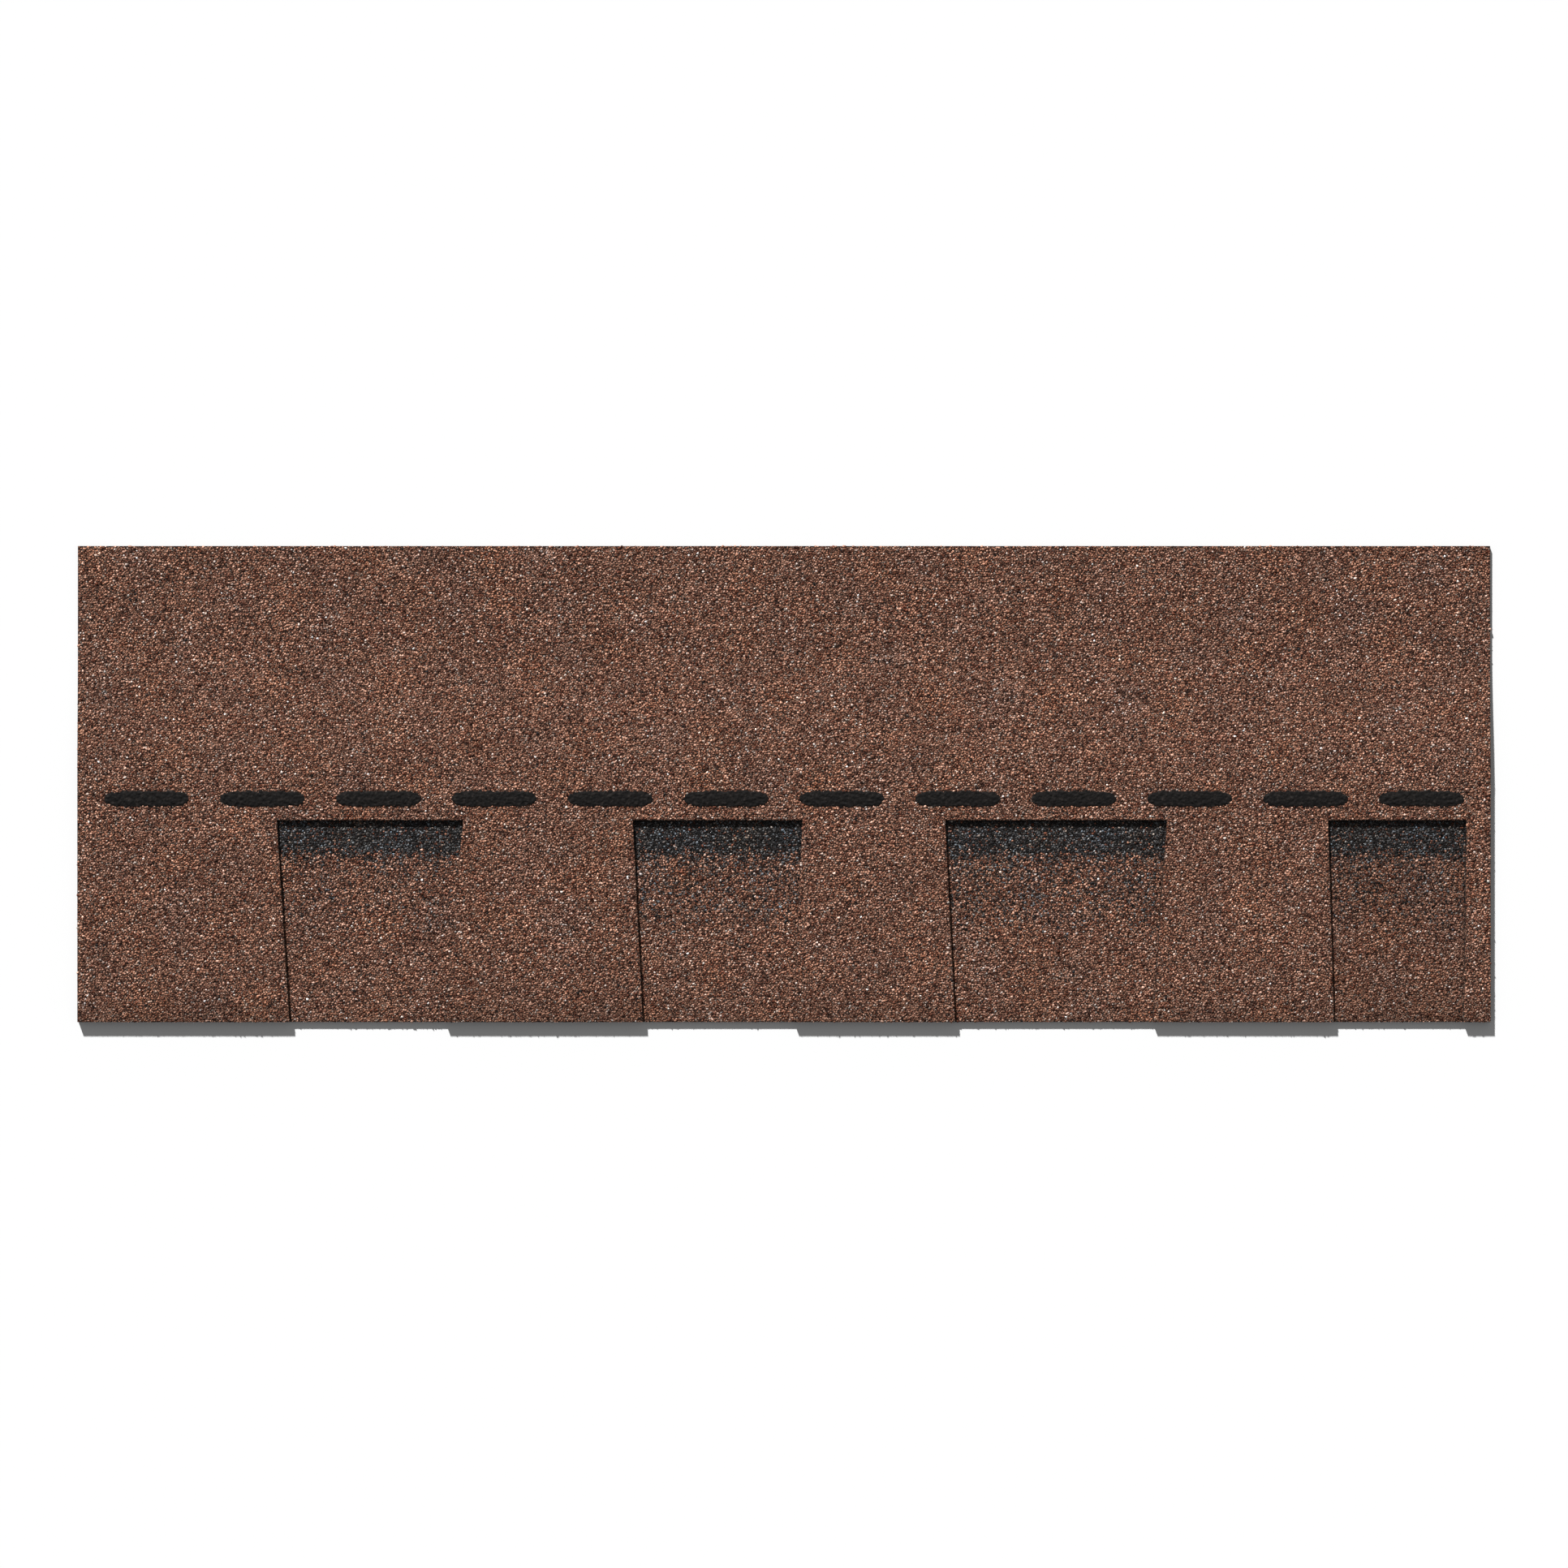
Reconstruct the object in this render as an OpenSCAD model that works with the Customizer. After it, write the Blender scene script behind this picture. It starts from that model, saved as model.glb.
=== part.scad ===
// Laminated asphalt roofing shingle: a toothed top ply bonded to a backing strip.
// It lies face up on a level floor. X runs along the course, +Y up the roof slope, +Z up.
// The butt edge faces -Y, and the origin is the middle of the footprint, on the floor.

/* [Shingle] */
// Length along the course
shingle_l = 1000; // [800:1:1200]
// Height from the butt edge to the top edge
shingle_h = 337; // [320:1:400]
// Height of the cut-outs, which is the weather exposure of a course
exposure = 143; // [110:1:160]

/* [Plies] */
// Thickness of the toothed top ply with its granules
tooth_ply_t = 2.6; // [1.5:0.1:4]
// Thickness of the backing strip with its granules
backing_t = 2.6; // [1.5:0.1:4]
// Height of the bond above the cut-outs, where the two plies overlap and are nailed
common_bond = 25; // [20:1:40]
// Length over which the top ply sags from the backing strip down to the floor
sag_run = 100; // [60:1:115]

/* [Cut-outs] */
// Distance from the left end to each cut-out, at its top
cutout_start = [141, 393, 614, 885]; // [100:1:900]
// Width of each cut-out at its top
cutout_w = [132, 120, 157, 98]; // [60:1:170]
// How far the tooth left of each cut-out widens towards the butt edge
left_flare = [9, 7, 7, 4]; // [0:0.5:15]
// How far the tooth right of each cut-out widens towards the butt edge
right_flare = [13, 6, 10, 2]; // [0:0.5:15]

/* [Sealant] */
// Length of one dash of self-seal adhesive
dash_l = 60; // [30:1:90]
// Width of a dash
dash_w = 12; // [6:0.5:16]
// Height of a dash at its crown
dash_t = 0.8; // [0.4:0.1:1.5]
// Space between one dash and the next
dash_gap = 22; // [10:1:40]
// Space between the cut-outs and the row of dashes
dash_offset = 9; // [2:0.5:12]
// Least space between the row of dashes and an end of the shingle
dash_end_margin = 15; // [5:1:40]

/* [Hidden] */
$fn = 96;

granule_brown = "#6d4f43";
backing_brown = "#5f4a43";
asphalt_black = "#1c1a19";

// Both plies lie double from the butt edge to the top of the common bond.
backing_h = exposure + common_bond;
face_z = backing_t + tooth_ply_t;
// Flat steps that make up the sag's curve.
sag_steps = 16;
// The cut-outs run this far past the ply's faces and butt edge, so that they come out open.
cut_spill = 5;

dash_pitch = dash_l + dash_gap;
dash_n = floor((shingle_l - 2 * dash_end_margin + dash_gap) / dash_pitch);
dash_row_l = dash_n * dash_pitch - dash_gap;
// Sides of the full circle that a dash's shallow crown is a part of.
crown_fn = 720;
// A dash's crown is an arc as wide as the dash and as high as its thickness.
dash_r = (pow(dash_w / 2, 2) + pow(dash_t, 2)) / (2 * dash_t);

// Moves a shape drawn from the butt edge's left end to the shingle's own frame.
module from_butt_corner() {
  translate([-shingle_l / 2, -shingle_h / 2, 0]) children();
}

// Where a cut-out's slanting side is at height y, if it moves by flare down to the butt edge.
function side_x(x_top, flare, y) = x_top + flare * (exposure - y) / exposure;

// One cut-out, narrower at the butt edge by the flares of its two teeth.
module cutout_outline(k) {
  x_left = cutout_start[k];
  x_right = cutout_start[k] + cutout_w[k];
  polygon([
    [x_left, exposure],
    [side_x(x_left, left_flare[k], -cut_spill), -cut_spill],
    [side_x(x_right, -right_flare[k], -cut_spill), -cut_spill],
    [x_right, exposure]
  ]);
}

// Height of the top ply's underside at a share of the way along the sag, a half cosine wave.
function sag_z(share) = backing_t * (1 + cos(180 * share)) / 2;

// The top ply's underside in side view, with the roof slope along X.
underside = concat(
  [[0, backing_t]],
  [for (k = [0 : sag_steps]) [backing_h + sag_run * k / sag_steps, sag_z(k / sag_steps)]],
  [[shingle_h, 0]]
);

// Side view of the top ply: flat on the backing strip, then down to the floor.
module tooth_ply_profile() {
  last = len(underside) - 1;
  polygon(concat(underside, [for (k = [last : -1 : 0]) underside[k] + [0, tooth_ply_t]]));
}

module tooth_ply() {
  color(granule_brown) from_butt_corner() difference() {
    rotate([90, 0, 90]) linear_extrude(shingle_l) tooth_ply_profile();
    translate([0, 0, backing_t - cut_spill])
      linear_extrude(tooth_ply_t + 2 * cut_spill)
        for (k = [0 : len(cutout_start) - 1]) cutout_outline(k);
  }
}

module backing_strip() {
  color(backing_brown) from_butt_corner() cube([shingle_l, backing_h, backing_t]);
}

// One dash: round-ended in plan, with a crown that runs along it.
module sealant_dash() {
  intersection() {
    linear_extrude(dash_t) {
      translate([dash_w / 2, 0]) circle(d = dash_w);
      translate([dash_l - dash_w / 2, 0]) circle(d = dash_w);
      translate([dash_w / 2, -dash_w / 2]) square([dash_l - dash_w, dash_w]);
    }
    translate([0, 0, dash_t - dash_r])
      rotate([0, 90, 0]) cylinder(r = dash_r, h = dash_l, $fn = crown_fn);
  }
}

module sealant_dashes() {
  row_start = (shingle_l - dash_row_l) / 2;
  row_y = exposure + dash_offset + dash_w / 2;
  color(asphalt_black) from_butt_corner()
    for (k = [0 : dash_n - 1])
      translate([row_start + k * dash_pitch, row_y, face_z]) sealant_dash();
}

tooth_ply();
backing_strip();
sealant_dashes();
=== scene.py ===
"""A laminated asphalt roofing shingle, face up on a white floor and seen from straight above.

The two plies are the CAD solids, with a material that tells their face, cut edges and back apart.
Crushed-rock granules lie pressed into every weather face: the coarse ones as pebbles in joined meshes,
each with a colour of its own, and the fine ones between them as a pattern on the ply. Beads of
self-seal asphalt stand for the plain dashes. Lengths are in millimetres until a mesh is made.
"""
import math

import bpy
import numpy as np
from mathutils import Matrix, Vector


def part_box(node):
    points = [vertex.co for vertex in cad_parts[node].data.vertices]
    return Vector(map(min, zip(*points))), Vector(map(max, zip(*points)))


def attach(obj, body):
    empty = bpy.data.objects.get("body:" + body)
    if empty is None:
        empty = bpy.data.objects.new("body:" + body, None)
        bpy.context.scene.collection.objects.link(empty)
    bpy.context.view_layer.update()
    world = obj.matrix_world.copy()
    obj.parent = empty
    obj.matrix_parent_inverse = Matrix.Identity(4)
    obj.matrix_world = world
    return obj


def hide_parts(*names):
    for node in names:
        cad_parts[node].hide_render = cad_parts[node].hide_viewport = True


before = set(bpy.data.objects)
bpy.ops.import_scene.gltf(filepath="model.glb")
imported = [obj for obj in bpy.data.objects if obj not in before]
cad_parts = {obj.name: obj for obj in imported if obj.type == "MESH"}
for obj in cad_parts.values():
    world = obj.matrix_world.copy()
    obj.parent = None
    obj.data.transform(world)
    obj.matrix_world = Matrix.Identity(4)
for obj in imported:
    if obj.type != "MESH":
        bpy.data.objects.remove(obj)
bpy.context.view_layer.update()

# Sizes
MM = 0.001
GRANULE_SEED = 20
BEAD_SEED = 21
HUE_SEED = 22

# The tooth pattern from the left end and the butt edge, as the part's source has it
EXPOSURE = 143.0
CUTOUT_START = np.array([141.0, 393.0, 614.0, 885.0])
CUTOUT_W = np.array([132.0, 120.0, 157.0, 98.0])
LEFT_FLARE = np.array([9.0, 7.0, 7.0, 4.0])
RIGHT_FLARE = np.array([13.0, 6.0, 10.0, 2.0])
SAG_RUN = 100.0
DASH_L = 60.0
DASH_GAP = 22.0
DASH_PITCH = DASH_L + DASH_GAP

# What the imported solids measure
ply_low, ply_high = (np.array(corner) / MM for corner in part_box("tooth_ply"))
strip_low, strip_high = (np.array(corner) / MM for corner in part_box("backing_strip"))
dash_low, dash_high = (np.array(corner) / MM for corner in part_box("sealant_dashes"))
SHINGLE_L, SHINGLE_H = ply_high[:2] - ply_low[:2]
FACE_Z = ply_high[2]
STRIP_Z = strip_high[2]
STRIP_H = strip_high[1] - strip_low[1]
DASH_W = dash_high[1] - dash_low[1]
DASH_T = dash_high[2] - dash_low[2]
DASH_ROW_Y = (dash_low[1] + dash_high[1]) / 2

# Granules are 0.4 to 1.7 mm across. The coarse half are pebbles, as many as the triangle limit lets in, and
# up to a third too large so that they cover the sheet.
PEBBLE_PITCH = 1.82
# The first column and row of pebbles, in pitches from the left end and the butt edge
FIRST_PEBBLE = (0.25, 0.5)
# How far a pebble strays from its place, in pitches
PEBBLE_STRAY = 1 / 3
PEBBLE_R = 0.8
PEBBLE_R_SPREAD = 0.2
PEBBLE_R_LIMITS = (0.5, 1.15)
PEBBLE_TIP = math.radians(11)
CORNER_SPREAD = 0.26
STRETCH = 0.2
# Height of a pebble's middle over the ply's face, as a share of its radius
PEBBLE_SEAT = (-0.2, 0.06)
# A pebble's middle stays this far inside the edge of what carries it
EDGE_LIP = 0.4
# and this far from a tooth's wall, down on the strip
WALL_GAP = 0.7
HEADLAP_PANELS = 4

# The shadow band: dark granules along the backing strip, down from the cut-outs' top edge. Its lower edge
# is ragged by this much, in waves of this length.
BAND_H = 26.5
BAND_RAGGED = 4.5
BAND_WAVE = 14.0
# Share of dark granules in each cut-out's mottled part, under the band, and how far down that reaches
MOTTLE = np.array([0.07, 0.33, 0.33, 0.22])
MOTTLE_H = 62.0
# Patches in the mottled part: their size, how sharply they show, and what they multiply the share by
PATCH_L = 30.0
PATCH_CONTRAST = 0.45
PATCH_LEVELS = (0.65, 1.35)
# The share of dark ones among the fine granules there, alike in all the cut-outs
FINE_MOTTLE = 0.2
# Brightness of the granules in each cut-out
CUTOUT_TONE = np.array([1.0, 1.0, 1.0, 0.79])
# Slow drifts over the sheet: brightness, in streaks so many times as long as high, and hue, as shares of
# red, green and blue
TONE_DRIFT = 0.035
TONE_DRIFT_L = 160.0
TONE_STREAK = 2.5
HUE_DRIFT = (0.035, 0.0, -0.035)
HUE_DRIFT_L = 90.0
# Painted shade: the face darkens towards the butt edge, most on the teeth, and along a line just above it
TOOTH_BUTT_SHADE = 0.48
CUTOUT_BUTT_SHADE = np.array([0.18, 0.24, 0.24, 0.55])
BUTT_SHADE_H = 12.0
BUTT_SHADE_LINE = 11.0
BUTT_SHADE_LINE_H = 2.4
BUTT_LINE_SHADE = 0.14
# The shortest wave in a random field, as a share of the longest
SHORTEST_WAVE = 0.35

# Sealant beads: rings along one, points over a ring's crown and along its flat foot, and depth of the foot
# in the granules
BEAD_RINGS = 78
BEAD_CROWN_POINTS = 22
BEAD_FOOT_POINTS = 3
BEAD_FOOT = 0.3
# Size of a bead's lumps, and mean and spread of its rim and its crown, as shares of the plain dash's
BEAD_LUMP = 6.0
BEAD_RIM = (0.92, 0.07)
BEAD_CROWN = (0.8, 0.18)
# Power of the sine that a crown follows, and share of a bead's width with no pebbles under it
BEAD_FULLNESS = 0.6
BEAD_CLEAR = 0.88

# Grain on a pebble's facets, and its depth
FACET_GRAIN = 0.5
FACET_GRAIN_T = 0.08
# The fine granules between the pebbles, and how far they stand out. The sand on the back has the same
# pattern, which is coarser than real sand so that it shows.
FINE_GRANULE = 0.85
FINE_GRANULE_T = 0.35
# How far from the middle of a joint the asphalt starts to thin out, and how far from it a granule is
# bare, as shares of a granule
JOINT_EDGES = (0.04, 0.22)
# Length and height of the streaks that the mat and the filled asphalt show along a cut edge
EDGE_STREAK = (2.6, 0.45)
# Patches of duller skin on a bead, and depth of the lumps that the granules under it make
SKIN_PATCH = 3.0
SKIN_LUMP_T = 0.5


# Colours
def linear(hex_colour):
    """The linear RGB of an sRGB hex value such as "#6d4f43", by the standard's own curve."""
    srgb = np.array([int(hex_colour[k:k + 2], 16) for k in (1, 3, 5)]) / 255
    return np.where(srgb <= 0.04045, srgb / 12.92, ((srgb + 0.055) / 1.055) ** 2.4)


def rgba(hex_colour):
    """The linear colour as a socket takes it, with an alpha of 1."""
    return (*linear(hex_colour), 1.0)


# Granule colours with their shares in the brown blend and in the shadow band
GRANULES = {
    "brown": ("#a67964", 0.44, 0.01),
    "umber": ("#704637", 0.23, 0.06),
    "russet": ("#b38873", 0.12, 0.00),
    "tan": ("#c1aa9d", 0.05, 0.00),
    "grey": ("#918278", 0.03, 0.05),
    "bark": ("#412921", 0.12, 0.02),
    "charcoal": ("#232121", 0.01, 0.50),
    "slate": ("#626263", 0.00, 0.36),
}
GRANULE_HEX = [row[0] for row in GRANULES.values()]
GRANULE_COLOURS = np.array([linear(colour) for colour in GRANULE_HEX])
BROWN_BLEND = np.array([row[1] for row in GRANULES.values()])
SHADOW_BLEND = np.array([row[2] for row in GRANULES.values()])
# How much granules of one colour differ in brightness, as the spread of its logarithm
SHADE_SPREAD = 0.38
# A granule brighter than others of its colour is paler too: powers of its brightness in red, green and blue
PALER = np.array([0.82, 1.04, 1.18])
ASPHALT = "#151312"
# Through a ply's cut edge, from its underside to its face: asphalt, the glass mat in the middle, asphalt
EDGE_LAYERS = (
    (0.0, "#090808"), (0.14, "#211e1c"), (0.4, "#4a423b"),
    (0.58, "#443d37"), (0.8, "#221f1d"), (1.0, "#191716"),
)
BACK_STOPS = ((0.0, "#1f1d1c"), (0.55, "#34302d"), (0.85, "#5b5650"), (1.0, "#8b857b"))
BEAD_STOPS = ((0.35, "#0b0a0a"), (0.55, "#161413"), (0.75, "#2f2b29"))
FLOOR_WHITE = "#fcfcfc"
LIGHT_WHITE = "#ffffff"


# The shingle's shape
def in_frame(u, v, z):
    """Points in metres in the shared frame, from distances to the left end, the butt edge and the floor."""
    return np.stack([u + ply_low[0], v + ply_low[1], z], -1) * MM


def face_height(v):
    """Height of the top ply's face: level over the strip, then a half cosine wave down to the floor."""
    share = np.clip((v - STRIP_H) / SAG_RUN, 0, 1)
    return FACE_Z - STRIP_Z * (1 - np.cos(np.pi * share)) / 2


def cutout_sides(v):
    """Left and right side of each cut-out at height v: straight, and leaning in towards the butt edge."""
    share = np.clip((EXPOSURE - v) / EXPOSURE, 0, 1)[:, None]
    return CUTOUT_START + LEFT_FLARE * share, CUTOUT_START + CUTOUT_W - RIGHT_FLARE * share


def bead_half_width(s):
    """Half width of a bead of sealant at s, from -1 to 1 along it: a flat-sided oval, (1 - s^6)^(1/2)."""
    return DASH_W / 2 * np.sqrt(1 - s ** 6)


def waves(u, v, longest, count, rng):
    """A smooth random field of unit spread: a sum of cosine waves of random heading, length and phase."""
    heading = rng.uniform(0, 2 * np.pi, count)
    number = 2 * np.pi / (longest * rng.uniform(SHORTEST_WAVE, 1, count))
    phase = rng.uniform(0, 2 * np.pi, count)
    along = u[..., None] * np.cos(heading) + v[..., None] * np.sin(heading)
    return np.cos(along * number + phase).sum(-1) * math.sqrt(2 / count)


def smooth_step(x):
    """0 below 0 and 1 above 1, with the smooth cubic 3x^2 - 2x^3 between."""
    x = np.clip(x, 0, 1)
    return x * x * (3 - 2 * x)


# Pebbles
def pebble_places(rng):
    """A lattice of equal-sided triangles over the whole shingle, with each point moved at random."""
    row_pitch = PEBBLE_PITCH * math.sqrt(0.75)
    columns = np.arange(FIRST_PEBBLE[0], SHINGLE_L / PEBBLE_PITCH)
    rows = np.arange(FIRST_PEBBLE[1], SHINGLE_H / row_pitch)
    u, v = np.meshgrid(columns * PEBBLE_PITCH, rows * row_pitch)
    u = u + (np.arange(len(rows)) % 2)[:, None] * PEBBLE_PITCH / 2
    stray = rng.uniform(-1, 1, (2, u.size)) * PEBBLE_PITCH * PEBBLE_STRAY
    return u.ravel() + stray[0], v.ravel() + stray[1]


def under_beads(u, v):
    """Whether a point is under a bead of sealant: in the row, and in the bead's oval but for its rim."""
    along = u + ply_low[0] - dash_low[0]
    across = v + ply_low[1] - DASH_ROW_Y
    s = np.clip(along % DASH_PITCH / DASH_L * 2 - 1, -1, 1)
    in_row = (along > 0) & (u + ply_low[0] < dash_high[0])
    return in_row & (np.abs(across) < BEAD_CLEAR * bead_half_width(s))


def blend_of(u, v, cutout, rng):
    """Share of each granule colour at each point.

    The shadow band's blend fills a cut-out's top, with a ragged lower edge. Below it, patches of dark
    granules fade out over the lower half of the mottled part. Teeth and headlap have the brown blend alone.
    """
    ragged = BAND_RAGGED * waves(u, v, longest=BAND_WAVE, count=12, rng=rng)
    band = smooth_step((v - (EXPOSURE - BAND_H) + ragged) / (2 * BAND_RAGGED) + 0.5)
    fade = smooth_step((v - (EXPOSURE - BAND_H - MOTTLE_H)) / (MOTTLE_H / 2))
    patch = smooth_step(0.5 + PATCH_CONTRAST * waves(u, v, longest=PATCH_L, count=14, rng=rng))
    mottle = MOTTLE[cutout] * np.interp(patch, (0, 1), PATCH_LEVELS) * fade
    dark = np.where(cutout < 0, 0, np.maximum(band, mottle))[:, None]
    return (1 - dark) * BROWN_BLEND + dark * SHADOW_BLEND


def pebble_colours(u, v, cutout, rng):
    """A linear colour for each pebble: one of the blend's colours, with its own brightness and paleness.

    A slow drift along the sheet changes the brightness too, and painted shade darkens it above the butt
    edge and along a line just above that. Another slow drift makes the hue warmer or cooler. The painted
    shade falls off with the exponential of the height, and the painted shade line is a bell curve across
    its height.
    """
    blend = np.cumsum(blend_of(u, v, cutout, rng), 1)
    pick = (rng.random(len(u))[:, None] * blend[:, -1:] > blend).sum(1)
    drift = 1 + TONE_DRIFT * waves(u, TONE_STREAK * v, longest=TONE_DRIFT_L, count=10, rng=rng)
    hue = waves(u, v, longest=HUE_DRIFT_L, count=10, rng=np.random.default_rng(HUE_SEED))
    warmth = 1 + np.outer(hue, HUE_DRIFT)
    on_strip = cutout >= 0
    # Painted shade: darker towards the butt edge and along a line just above it
    line_shaded = BUTT_LINE_SHADE * ~on_strip * np.exp(-(((v - BUTT_SHADE_LINE) / BUTT_SHADE_LINE_H) ** 2))
    shade = np.where(on_strip, CUTOUT_BUTT_SHADE[cutout], TOOTH_BUTT_SHADE)
    shaded = shade * np.exp(-v / BUTT_SHADE_H)
    own = rng.lognormal(-SHADE_SPREAD ** 2 / 2, SHADE_SPREAD, len(u))
    tone = np.where(on_strip, CUTOUT_TONE[cutout], 1)
    brightness = tone * drift * (1 - line_shaded - shaded)
    return GRANULE_COLOURS[pick] * warmth * own[:, None] ** PALER * brightness[:, None]


# A pebble's corners, in radii: a triangle above, and below it a wider one turned by a sixth of a turn
UPPER_R, UPPER_Z = 0.98, 0.28
LOWER_R, LOWER_Z = 1.02, -0.5
UPPER = np.radians([90, 210, 330])
LOWER = np.radians([150, 270, 30])
PEBBLE_CORNERS = np.concatenate([
    np.stack([UPPER_R * np.cos(UPPER), UPPER_R * np.sin(UPPER), np.full(3, UPPER_Z)], 1),
    np.stack([LOWER_R * np.cos(LOWER), LOWER_R * np.sin(LOWER), np.full(3, LOWER_Z)], 1),
])
CORNERS = len(PEBBLE_CORNERS)
# Its faces: the top, the bottom, and six round the side
PEBBLE_FACES = np.array([
    [0, 1, 2], [3, 5, 4],
    [0, 3, 1], [1, 3, 4], [1, 4, 2], [2, 4, 5], [2, 5, 0], [0, 5, 3],
])


def turned(points, angle, first, second):
    """Points turned in the plane of two axes, each set of points by its own angle."""
    a, b = points[..., first], points[..., second]
    c, s = np.cos(angle)[:, None], np.sin(angle)[:, None]
    moved = points.copy()
    moved[..., first] = a * c - b * s
    moved[..., second] = a * s + b * c
    return moved


def pebble_shapes(centres, radii, rng):
    """Corners of every pebble.

    Each is the pattern with every corner moved out or in and each axis stretched or shrunk, tipped both
    ways and then turned about Z.
    """
    count = len(centres)
    corners = PEBBLE_CORNERS * rng.uniform(1 - CORNER_SPREAD, 1 + CORNER_SPREAD, (count, CORNERS, 1))
    corners = corners * rng.uniform(1 - STRETCH, 1 + STRETCH, (count, 1, 3)) * radii[:, None, None]
    corners = turned(corners, rng.normal(0, PEBBLE_TIP, count), 1, 2)
    corners = turned(corners, rng.normal(0, PEBBLE_TIP, count), 0, 2)
    corners = turned(corners, rng.uniform(0, 2 * np.pi, count), 0, 1)
    return corners + centres[:, None, :]


# Meshes
def triangle_piece(name, points, faces, material):
    """A piece from an array of points, in metres, and an array of triangles."""
    mesh = bpy.data.meshes.new(name)
    mesh.vertices.add(len(points))
    mesh.vertices.foreach_set("co", points.astype(np.float32).ravel())
    mesh.loops.add(faces.size)
    mesh.loops.foreach_set("vertex_index", faces.astype(np.int32).ravel())
    mesh.polygons.add(len(faces))
    mesh.polygons.foreach_set("loop_start", np.arange(0, faces.size, 3, dtype=np.int32))
    mesh.update(calc_edges=True)
    mesh.materials.append(material)
    piece = bpy.data.objects.new(name, mesh)
    bpy.context.scene.collection.objects.link(piece)
    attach(piece, "root")
    return piece


def pebble_piece(name, u, v, z, colours, material, rng):
    """One joined mesh of pebbles, with each pebble's colour on its points and a map seen from above."""
    radii = np.clip(PEBBLE_R * rng.lognormal(0, PEBBLE_R_SPREAD, len(u)), *PEBBLE_R_LIMITS)
    centres = np.stack([u, v, z + radii * rng.uniform(*PEBBLE_SEAT, len(u))], -1)
    points = pebble_shapes(centres, radii, rng).reshape(-1, 3)
    faces = (PEBBLE_FACES + CORNERS * np.arange(len(u))[:, None, None]).reshape(-1, 3)
    piece = triangle_piece(name, in_frame(*points.T), faces, material)
    shown = np.ones((len(points), 4))
    shown[:, :3] = np.repeat(colours, CORNERS, 0)
    colour = piece.data.attributes.new("granule_colour", "FLOAT_COLOR", "POINT")
    colour.data.foreach_set("color", shown.astype(np.float32).ravel())
    from_above = (points[:, :2] - points[:, :2].min(0)) / np.ptp(points[:, :2], axis=0)
    bake_map = piece.data.uv_layers.new(name="OFBake")
    bake_map.uv.foreach_set("vector", from_above[faces.ravel()].astype(np.float32).ravel())


def lay_pebbles(material):
    """Pebbles on each tooth, on the strip in each cut-out, and on the headlap in panels."""
    rng = np.random.default_rng(GRANULE_SEED)
    u, v = pebble_places(rng)
    left, right = cutout_sides(v)
    u_wide, v_wide = u[:, None], v[:, None]
    in_sheet = (u > EDGE_LIP) & (u < SHINGLE_L - EDGE_LIP) & (v > EDGE_LIP) & (v < SHINGLE_H - EDGE_LIP)
    in_gap = (u_wide > left + WALL_GAP) & (u_wide < right - WALL_GAP) & (v_wide < EXPOSURE - WALL_GAP)
    off_gap = (u_wide < left - EDGE_LIP) | (u_wide > right + EDGE_LIP) | (v_wide > EXPOSURE + EDGE_LIP)
    on_ply = in_sheet & off_gap.all(1) & ~under_beads(u, v)
    on_tooth = on_ply & (v < EXPOSURE)
    on_headlap = on_ply & (v >= EXPOSURE)
    cutout = np.where(in_gap.any(1), in_gap.argmax(1), -1)
    tooth = (u_wide > right).sum(1)
    panel = np.minimum(u / SHINGLE_L * HEADLAP_PANELS, HEADLAP_PANELS - 1).astype(int)
    colours = pebble_colours(u, v, cutout, rng)
    ply_z = face_height(v)
    strip_z = np.full(len(u), STRIP_Z)

    def lay(name, chosen, z):
        pebble_piece(name, u[chosen], v[chosen], z[chosen], colours[chosen], material, rng)

    for k in range(len(CUTOUT_W) + 1):
        lay(f"granules_tooth_{k + 1}", on_tooth & (tooth == k), ply_z)
    for k in range(len(CUTOUT_W)):
        lay(f"granules_cutout_{k + 1}", in_sheet & (cutout == k), strip_z)
    for k in range(HEADLAP_PANELS):
        lay(f"granules_headlap_{k + 1}", on_headlap & (panel == k), ply_z)


# Sealant
def bead_points(rng):
    """One bead of sealant about its own middle: an end point, rings along it, and the other end point.

    A ring goes over the crown, whose height follows a power of the sine of the way round, and back along a
    flat foot. Smooth random waves of a few millimetres make the rim and the crown uneven, as hot asphalt
    runs between granules.
    """
    s = np.sin(np.linspace(-np.pi / 2, np.pi / 2, BEAD_RINGS + 2))[1:-1, None]
    crown_turn = np.linspace(0, np.pi, BEAD_CROWN_POINTS)
    foot_turn = np.linspace(np.pi, 2 * np.pi, BEAD_FOOT_POINTS + 2)[1:-1]
    turn = np.concatenate([crown_turn, foot_turn])[None, :]
    on_crown = np.arange(turn.size) < BEAD_CROWN_POINTS
    u = DASH_L / 2 * s + 0 * turn
    v = bead_half_width(s) * np.cos(turn)
    rim = BEAD_RIM[0] + BEAD_RIM[1] * waves(u, v, longest=BEAD_LUMP, count=16, rng=rng)
    crown = BEAD_CROWN[0] + BEAD_CROWN[1] * waves(u, v, longest=BEAD_LUMP, count=24, rng=rng)
    over = np.maximum(np.sin(turn), 0) ** BEAD_FULLNESS * np.sqrt(2 * bead_half_width(s) / DASH_W)
    z = np.where(on_crown, DASH_T * crown * over, -BEAD_FOOT)
    rings = np.stack([u, v * rim, z], -1).reshape(-1, 3)
    end = np.array([[DASH_L / 2, 0, 0]])
    return np.concatenate([-end, rings, end])


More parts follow.
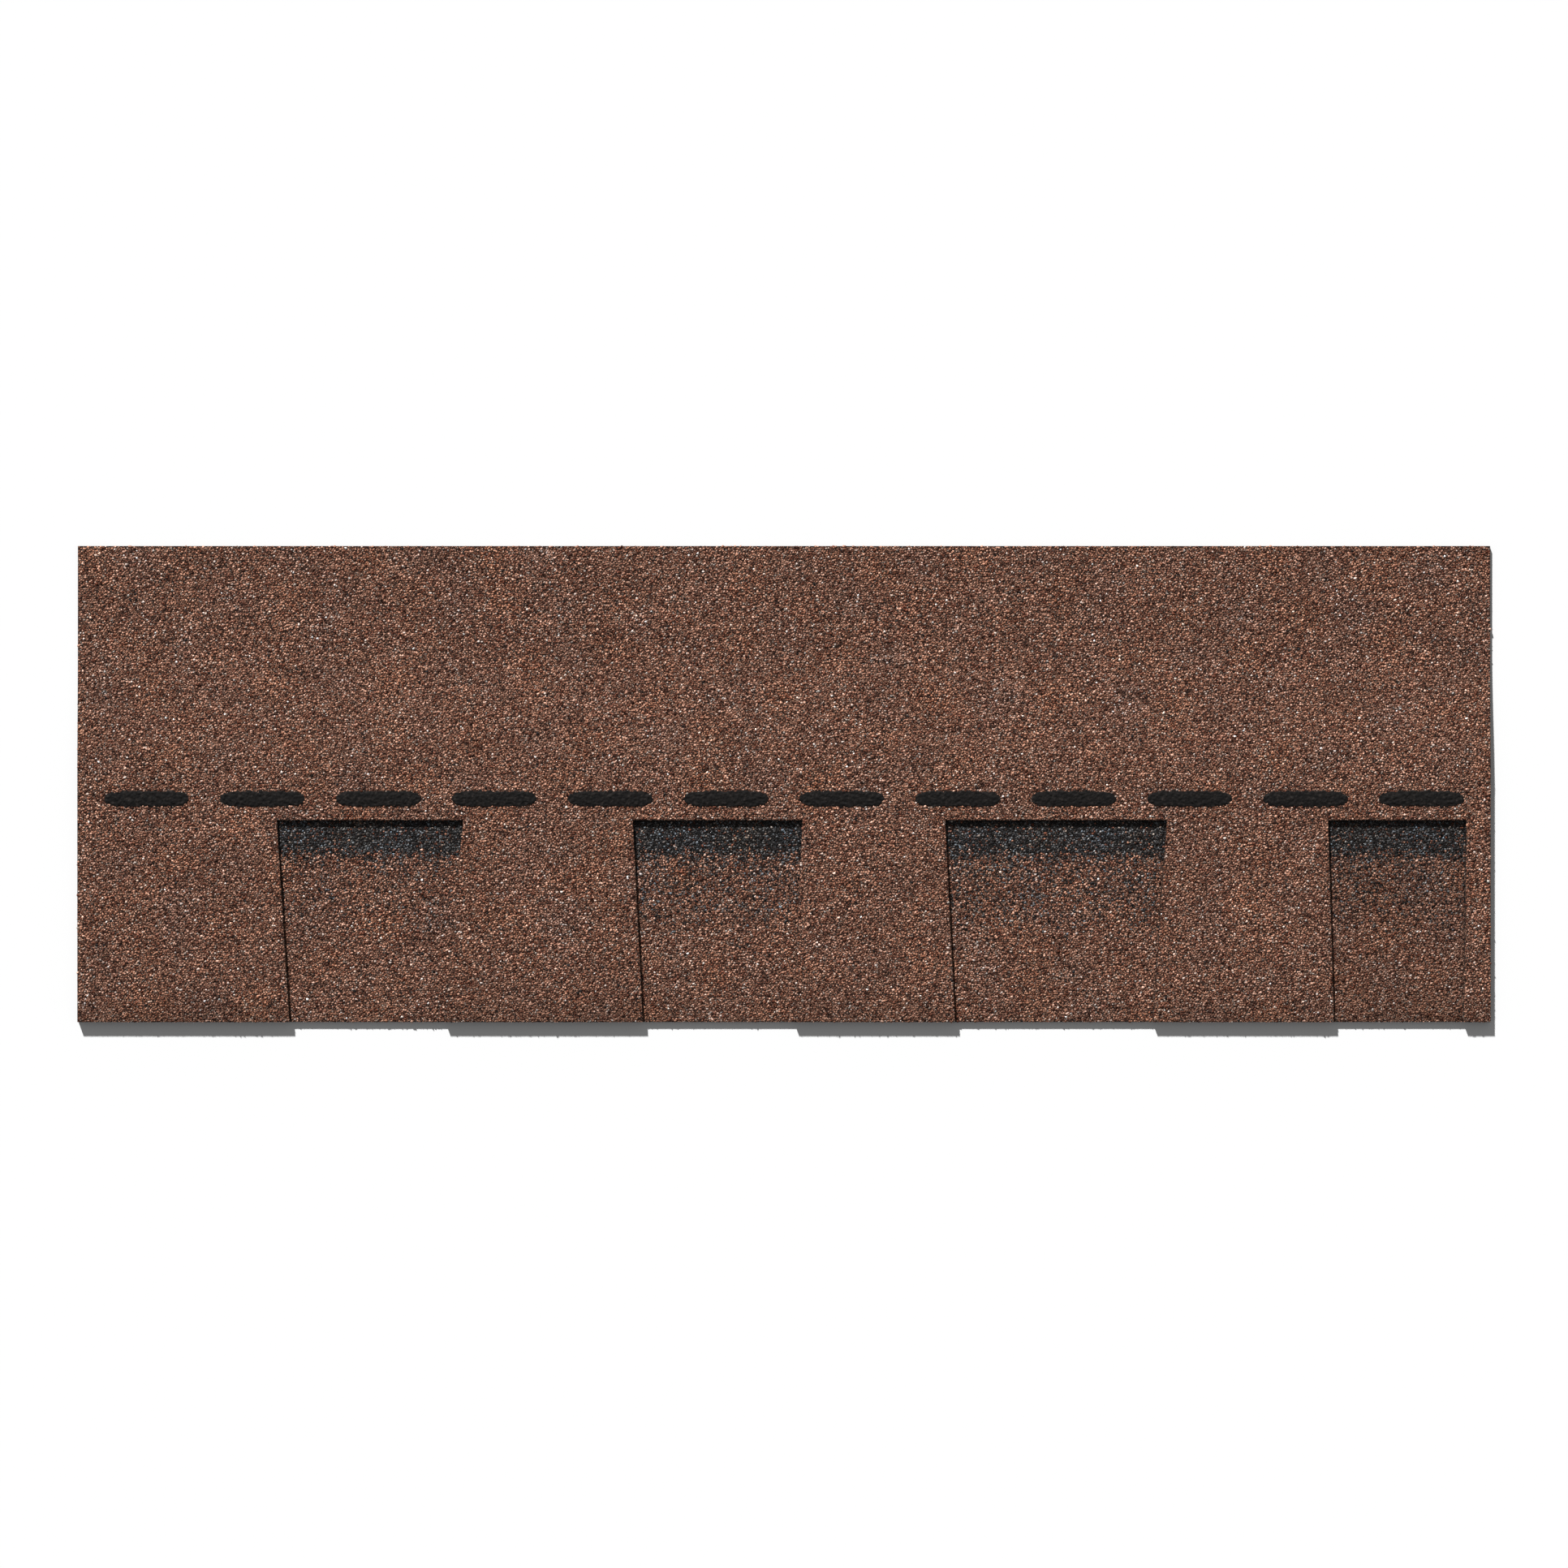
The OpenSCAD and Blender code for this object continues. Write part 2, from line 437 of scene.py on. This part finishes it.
def bead_faces():
    """Triangles of one bead: two for each step along and round it, and a fan at each end."""
    round_points = BEAD_CROWN_POINTS + BEAD_FOOT_POINTS
    grid = 1 + np.arange(BEAD_RINGS * round_points).reshape(BEAD_RINGS, round_points)
    after = np.roll(grid, -1, 1)
    walls = [
        np.stack([grid[:-1], after[:-1], after[1:]], -1),
        np.stack([grid[:-1], after[1:], grid[1:]], -1),
    ]
    first_end = np.stack([np.zeros_like(grid[0]), after[0], grid[0]], -1)
    last_end = np.stack([np.full_like(grid[0], grid.size + 1), grid[-1], after[-1]], -1)
    return np.concatenate([wall.reshape(-1, 3) for wall in walls] + [first_end, last_end])


def lay_sealant(material):
    """The row of beads along the top ply, one for each dash."""
    rng = np.random.default_rng(BEAD_SEED)
    count = int(round((dash_high[0] - dash_low[0] + DASH_GAP) / DASH_PITCH))
    u, v = np.array([dash_low[0] + DASH_L / 2, DASH_ROW_Y]) - ply_low[:2]
    beads = np.array([bead_points(rng) + (u + k * DASH_PITCH, v, FACE_Z) for k in range(count)])
    points = in_frame(*beads.reshape(-1, 3).T)
    faces = (bead_faces() + beads.shape[1] * np.arange(count)[:, None, None]).reshape(-1, 3)
    piece = triangle_piece("sealant_beads", points, faces, material)
    piece.data.polygons.foreach_set("use_smooth", np.ones(len(piece.data.polygons), bool))
    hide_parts("sealant_dashes")


# Materials
# A Mix node's colour sockets share their names with its other sockets, so they go by number
MIX_A, MIX_B, MIX_RESULT = 6, 7, 2
# Nearly all the values of a noise pattern are in this range
NOISE_RANGE = {"From Min": 0.3, "From Max": 0.7}
# A surface is a ply's face or back if its normal is this far up or down
FACING = 0.5


def add_node(tree, kind, settings=None, values=None, links=None, stops=()):
    """Adds a node: its settings, values of its free sockets, what feeds the others, and a ramp's stops."""
    node = tree.nodes.new(kind)
    for name, value in (settings or {}).items():
        setattr(node, name, value)
    for socket, value in (values or {}).items():
        node.inputs[socket].default_value = value
    for socket, source in (links or {}).items():
        tree.links.new(source, node.inputs[socket])
    if stops:
        elements = node.color_ramp.elements
        while len(elements) < len(stops):
            elements.new(0.5)
        for element, (place, colour) in zip(elements, stops):
            element.position = place
            element.color = rgba(colour)
    return node


def new_material(name):
    """A material with no nodes yet."""
    material = bpy.data.materials.new(name)
    material.use_nodes = True
    material.node_tree.nodes.clear()
    return material


def blend_stops(blend):
    """A stop for each granule colour in a blend, at the sum of the shares before it."""
    before = (np.cumsum(blend) - blend) / blend.sum()
    return [(before[k], GRANULE_HEX[k]) for k in np.flatnonzero(blend)]


def make_granule_coat():
    """Ceramic-coated crushed rock: a fired mineral colour coat, matt with a faint glint on its facets.

    A grain of half a millimetre roughens each facet and breaks its colour up.
    """
    material = new_material("ceramic_coated_rock_granules")
    tree = material.node_tree
    place = add_node(tree, "ShaderNodeTexCoord").outputs["Object"]
    grain = add_node(
        tree, "ShaderNodeTexNoise",
        values={"Scale": 1 / (FACET_GRAIN * MM), "Detail": 2.0}, links={"Vector": place},
    ).outputs["Fac"]
    tone = add_node(
        tree, "ShaderNodeMapRange",
        values={**NOISE_RANGE, "To Min": 0.78, "To Max": 1.22}, links={"Value": grain},
    ).outputs["Result"]
    base = add_node(tree, "ShaderNodeAttribute", {"attribute_name": "granule_colour"}).outputs["Color"]
    colour = add_node(
        tree, "ShaderNodeVectorMath", {"operation": "SCALE"}, links={0: base, "Scale": tone},
    ).outputs["Vector"]
    rough = add_node(
        tree, "ShaderNodeMapRange", values={"To Min": 0.55, "To Max": 0.9}, links={"Value": grain},
    ).outputs["Result"]
    relief = add_node(
        tree, "ShaderNodeBump",
        values={"Strength": 0.5, "Distance": FACET_GRAIN_T * MM}, links={"Height": grain},
    ).outputs["Normal"]
    shader = add_node(
        tree, "ShaderNodeBsdfPrincipled", values={"Specular IOR Level": 0.07},
        links={"Base Color": colour, "Roughness": rough, "Normal": relief},
    )
    add_node(tree, "ShaderNodeOutputMaterial", links={"Surface": shader.outputs["BSDF"]})
    return material


def bed_cells(tree, place):
    """Cells the size of fine granules.

    Gives random numbers for each cell, and a height that goes from 0 in a joint to 1 off it.
    """
    scale = {"Scale": 1 / (FINE_GRANULE * MM)}
    cell = add_node(
        tree, "ShaderNodeTexVoronoi", {"feature": "F1"}, scale, {"Vector": place},
    ).outputs["Color"]
    to_joint = add_node(
        tree, "ShaderNodeTexVoronoi", {"feature": "DISTANCE_TO_EDGE"}, scale, {"Vector": place},
    ).outputs["Distance"]
    draw = add_node(tree, "ShaderNodeSeparateColor", links={"Color": cell})
    off_joint = add_node(
        tree, "ShaderNodeMapRange",
        values={"From Min": JOINT_EDGES[0], "From Max": JOINT_EDGES[1]}, links={"Value": to_joint},
    ).outputs["Result"]
    return draw, off_joint


def shadowed(tree, granules, draw, y, band_foot):
    """Fine granules with the shadow band's colours for a share of them that rises with y.

    The share comes up to FINE_MOTTLE over the mottled part, and to all of them across the band's foot.
    """
    rises = (
        (band_foot - BAND_RAGGED, band_foot + BAND_RAGGED, 1.0),
        (band_foot - MOTTLE_H, band_foot, FINE_MOTTLE),
    )
    band, mottle = (
        add_node(
            tree, "ShaderNodeMapRange",
            values={"From Min": low * MM, "From Max": high * MM, "To Max": share}, links={"Value": y},
        ).outputs["Result"]
        for low, high, share in rises
    )
    dark = add_node(
        tree, "ShaderNodeMath", {"operation": "MAXIMUM"}, links={0: band, 1: mottle},
    ).outputs["Value"]
    is_dark = add_node(
        tree, "ShaderNodeMath", {"operation": "GREATER_THAN"}, links={0: dark, 1: draw.outputs["Blue"]},
    ).outputs["Value"]
    shadow = add_node(
        tree, "ShaderNodeValToRGB", links={"Fac": draw.outputs["Red"]}, stops=blend_stops(SHADOW_BLEND),
    )
    shadow.color_ramp.interpolation = "CONSTANT"
    return add_node(
        tree, "ShaderNodeMix", {"data_type": "RGBA"},
        links={"Factor": is_dark, MIX_A: granules, MIX_B: shadow.outputs["Color"]},
    ).outputs[MIX_RESULT]


def face_colour(tree, draw, off_joint, y, band_foot):
    """Colour of a ply's face between the pebbles: fine granules of their own tones, in black asphalt."""
    brown = add_node(
        tree, "ShaderNodeValToRGB", links={"Fac": draw.outputs["Red"]}, stops=blend_stops(BROWN_BLEND),
    )
    brown.color_ramp.interpolation = "CONSTANT"
    granules = brown.outputs["Color"]
    if band_foot is not None:
        granules = shadowed(tree, granules, draw, y, band_foot)
    tone = add_node(
        tree, "ShaderNodeMapRange",
        values={"To Min": 0.45, "To Max": 1.4}, links={"Value": draw.outputs["Green"]},
    ).outputs["Result"]
    toned = add_node(
        tree, "ShaderNodeVectorMath", {"operation": "SCALE"}, links={0: granules, "Scale": tone},
    ).outputs["Vector"]
    return add_node(
        tree, "ShaderNodeMix", {"data_type": "RGBA"},
        {MIX_A: rgba(ASPHALT)}, {"Factor": off_joint, MIX_B: toned},
    ).outputs[MIX_RESULT]


def edge_colour(tree, place, axes, seat_z, thickness):
    """Colour of a ply's cut edge: the pale mat between two coats of asphalt, in streaks along the sheet.

    The layers are counted up from the ply's underside, which lies at seat_z and comes down to the floor
    along the sag.
    """
    underside = add_node(
        tree, "ShaderNodeMapRange", {"interpolation_type": "SMOOTHSTEP"},
        {
            "From Min": strip_high[1] * MM, "From Max": (strip_high[1] + SAG_RUN) * MM,
            "To Min": seat_z * MM, "To Max": 0.0,
        },
        {"Value": axes.outputs["Y"]},
    ).outputs["Result"]
    depth = add_node(
        tree, "ShaderNodeMath", {"operation": "SUBTRACT"}, links={0: axes.outputs["Z"], 1: underside},
    ).outputs["Value"]
    layer = add_node(
        tree, "ShaderNodeMapRange", values={"From Max": thickness * MM}, links={"Value": depth},
    ).outputs["Result"]
    layers = add_node(
        tree, "ShaderNodeValToRGB", links={"Fac": layer}, stops=EDGE_LAYERS,
    ).outputs["Color"]
    flattened = add_node(
        tree, "ShaderNodeMapping",
        values={"Scale": (1, 1, EDGE_STREAK[0] / EDGE_STREAK[1])}, links={"Vector": place},
    ).outputs["Vector"]
    streaks = add_node(
        tree, "ShaderNodeTexNoise",
        values={"Scale": 1 / (EDGE_STREAK[0] * MM), "Detail": 3.0}, links={"Vector": flattened},
    ).outputs["Fac"]
    tone = add_node(
        tree, "ShaderNodeMapRange",
        values={**NOISE_RANGE, "To Min": 0.5, "To Max": 1.5}, links={"Value": streaks},
    ).outputs["Result"]
    return add_node(
        tree, "ShaderNodeVectorMath", {"operation": "SCALE"}, links={0: layers, "Scale": tone},
    ).outputs["Vector"]


def make_ply_material(name, seat_z, thickness, band_foot=None):
    """Asphalt-coated glass mat: granules on its face, black asphalt on its cut edges, sand on its back.

    The face shows between the pebbles as fine granules bedded in asphalt, in the shadow band's colours
    above band_foot. The back is dusted with sand so that shingles don't stick together when stacked. The
    normal says which of the three a point is on.
    """
    material = new_material(name)
    tree = material.node_tree
    place = add_node(tree, "ShaderNodeTexCoord").outputs["Object"]
    axes = add_node(tree, "ShaderNodeSeparateXYZ", links={"Vector": place})
    normal = add_node(tree, "ShaderNodeNewGeometry").outputs["Normal"]
    up = add_node(tree, "ShaderNodeSeparateXYZ", links={"Vector": normal}).outputs["Z"]
    draw, off_joint = bed_cells(tree, place)
    face = face_colour(tree, draw, off_joint, axes.outputs["Y"], band_foot)
    edge = edge_colour(tree, place, axes, seat_z, thickness)
    back = add_node(
        tree, "ShaderNodeValToRGB", links={"Fac": draw.outputs["Blue"]}, stops=BACK_STOPS,
    ).outputs["Color"]
    is_face = add_node(
        tree, "ShaderNodeMath", {"operation": "GREATER_THAN"}, {1: FACING}, {0: up},
    ).outputs["Value"]
    is_back = add_node(
        tree, "ShaderNodeMath", {"operation": "LESS_THAN"}, {1: -FACING}, {0: up},
    ).outputs["Value"]
    front = add_node(
        tree, "ShaderNodeMix", {"data_type": "RGBA"},
        links={"Factor": is_face, MIX_A: edge, MIX_B: face},
    ).outputs[MIX_RESULT]
    colour = add_node(
        tree, "ShaderNodeMix", {"data_type": "RGBA"},
        links={"Factor": is_back, MIX_A: front, MIX_B: back},
    ).outputs[MIX_RESULT]
    relief = add_node(
        tree, "ShaderNodeBump",
        values={"Strength": 0.8, "Distance": FINE_GRANULE_T * MM}, links={"Height": off_joint},
    ).outputs["Normal"]
    shader = add_node(
        tree, "ShaderNodeBsdfPrincipled", values={"Roughness": 0.78, "Specular IOR Level": 0.07},
        links={"Base Color": colour, "Normal": relief},
    )
    add_node(tree, "ShaderNodeOutputMaterial", links={"Surface": shader.outputs["BSDF"]})
    return material


def make_seal_asphalt():
    """Modified asphalt run on hot: black, with a dull skin that still has a faint sheen in patches.

    The granules under it show through as lumps of their own size.
    """
    material = new_material("modified_asphalt_sealant")
    tree = material.node_tree
    place = add_node(tree, "ShaderNodeTexCoord").outputs["Object"]
    skin = add_node(
        tree, "ShaderNodeTexNoise",
        values={"Scale": 1 / (SKIN_PATCH * MM), "Detail": 4.0}, links={"Vector": place},
    ).outputs["Fac"]
    colour = add_node(tree, "ShaderNodeValToRGB", links={"Fac": skin}, stops=BEAD_STOPS).outputs["Color"]
    dull = add_node(
        tree, "ShaderNodeMapRange", values={"To Min": 0.6, "To Max": 0.95}, links={"Value": skin},
    ).outputs["Result"]
    lumps = add_node(
        tree, "ShaderNodeTexVoronoi", {"feature": "SMOOTH_F1"},
        {"Scale": 1 / (PEBBLE_PITCH * MM), "Smoothness": 0.6}, {"Vector": place},
    ).outputs["Distance"]
    relief = add_node(
        tree, "ShaderNodeBump", {"invert": True},
        {"Strength": 0.9, "Distance": SKIN_LUMP_T * MM}, {"Height": lumps},
    ).outputs["Normal"]
    shader = add_node(
        tree, "ShaderNodeBsdfPrincipled", values={"Specular IOR Level": 0.1},
        links={"Base Color": colour, "Roughness": dull, "Normal": relief},
    )
    add_node(tree, "ShaderNodeOutputMaterial", links={"Surface": shader.outputs["BSDF"]})
    return material


def make_floor_paint():
    """Matt white studio floor paint: even, with no sheen."""
    material = new_material("matt_white_floor")
    tree = material.node_tree
    shader = add_node(
        tree, "ShaderNodeBsdfPrincipled",
        values={"Base Color": rgba(FLOOR_WHITE), "Roughness": 1.0, "Specular IOR Level": 0.0},
    )
    add_node(tree, "ShaderNodeOutputMaterial", links={"Surface": shader.outputs["BSDF"]})
    return material


def coat_plies():
    """Gives the two CAD plies their materials."""
    band_foot = strip_low[1] + EXPOSURE - BAND_H
    coats = {
        "tooth_ply": make_ply_material("granule_faced_asphalt_mat", STRIP_Z, FACE_Z - STRIP_Z),
        "backing_strip": make_ply_material("shadow_faced_asphalt_mat", 0.0, STRIP_Z, band_foot),
    }
    for node, material in coats.items():
        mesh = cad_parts[node].data
        mesh.materials.clear()
        mesh.materials.append(material)


# Studio, in metres
FLOOR_SIDE = 12.0
# Which way the sunlight runs over the floor, how high it comes from, and how wide the sun is
SUN_HEADING = (0.34, -0.94)
SUN_ELEVATION = math.radians(25)
SUN_ANGLE = math.radians(3)
# Brightness that the sun gives a white floor, and that the fill does
SUN_ON_FLOOR = 0.86
FILL = 0.17
LENS = 110.0
SENSOR = 36.0
# Share of the picture's width that the shingle fills
FILLS = 0.9


def lay_floor():
    """A square of white floor, level with the shingle's underside."""
    side = FLOOR_SIDE / 2
    corners = [(-side, -side, 0), (side, -side, 0), (side, side, 0), (-side, side, 0)]
    mesh = bpy.data.meshes.new("floor")
    mesh.from_pydata(corners, [], [(0, 1, 2, 3)])
    mesh.materials.append(make_floor_paint())
    floor = bpy.data.objects.new("floor", mesh)
    bpy.context.scene.collection.objects.link(floor)


def hang_sun():
    """A low sun from the upper left, as strong on the floor at any elevation."""
    sun = bpy.data.lights.new("sun", "SUN")
    sun.energy = math.pi * SUN_ON_FLOOR / math.sin(SUN_ELEVATION)
    sun.angle = SUN_ANGLE
    lamp = bpy.data.objects.new("sun", sun)
    heading = math.atan2(SUN_HEADING[1], SUN_HEADING[0])
    lamp.rotation_euler = (0, math.pi / 2 - SUN_ELEVATION, heading + math.pi)
    bpy.context.scene.collection.objects.link(lamp)


def fill_light():
    """An even fill from all round, which shows as white itself and in what reflects it."""
    world = bpy.data.worlds.new("studio")
    bpy.context.scene.world = world
    world.use_nodes = True
    tree = world.node_tree
    tree.nodes.clear()
    path = add_node(tree, "ShaderNodeLightPath")
    seen = path.outputs["Is Camera Ray"]
    for ray in ("Is Glossy Ray", "Is Transmission Ray"):
        seen = add_node(
            tree, "ShaderNodeMath", {"operation": "MAXIMUM"}, links={0: seen, 1: path.outputs[ray]},
        ).outputs["Value"]
    fill, white = (
        add_node(
            tree, "ShaderNodeBackground", values={"Color": rgba(LIGHT_WHITE), "Strength": strength},
        ).outputs["Background"]
        for strength in (FILL, 1.0)
    )
    mixed = add_node(tree, "ShaderNodeMixShader", links={"Fac": seen, 1: fill, 2: white})
    add_node(tree, "ShaderNodeOutputWorld", links={"Surface": mixed.outputs["Shader"]})


def aim_camera():
    """A long lens straight above the middle of the shingle."""
    camera = bpy.data.cameras.new("camera")
    camera.lens = LENS
    camera.sensor_width = SENSOR
    camera.dof.use_dof = False
    above = bpy.data.objects.new("camera", camera)
    above.location = (0, 0, SHINGLE_L * MM / FILLS * LENS / SENSOR)
    scene = bpy.context.scene
    scene.collection.objects.link(above)
    scene.camera = above
    scene.view_settings.view_transform = "Standard"


lay_floor()
hang_sun()
fill_light()
aim_camera()
coat_plies()
lay_pebbles(make_granule_coat())
lay_sealant(make_seal_asphalt())
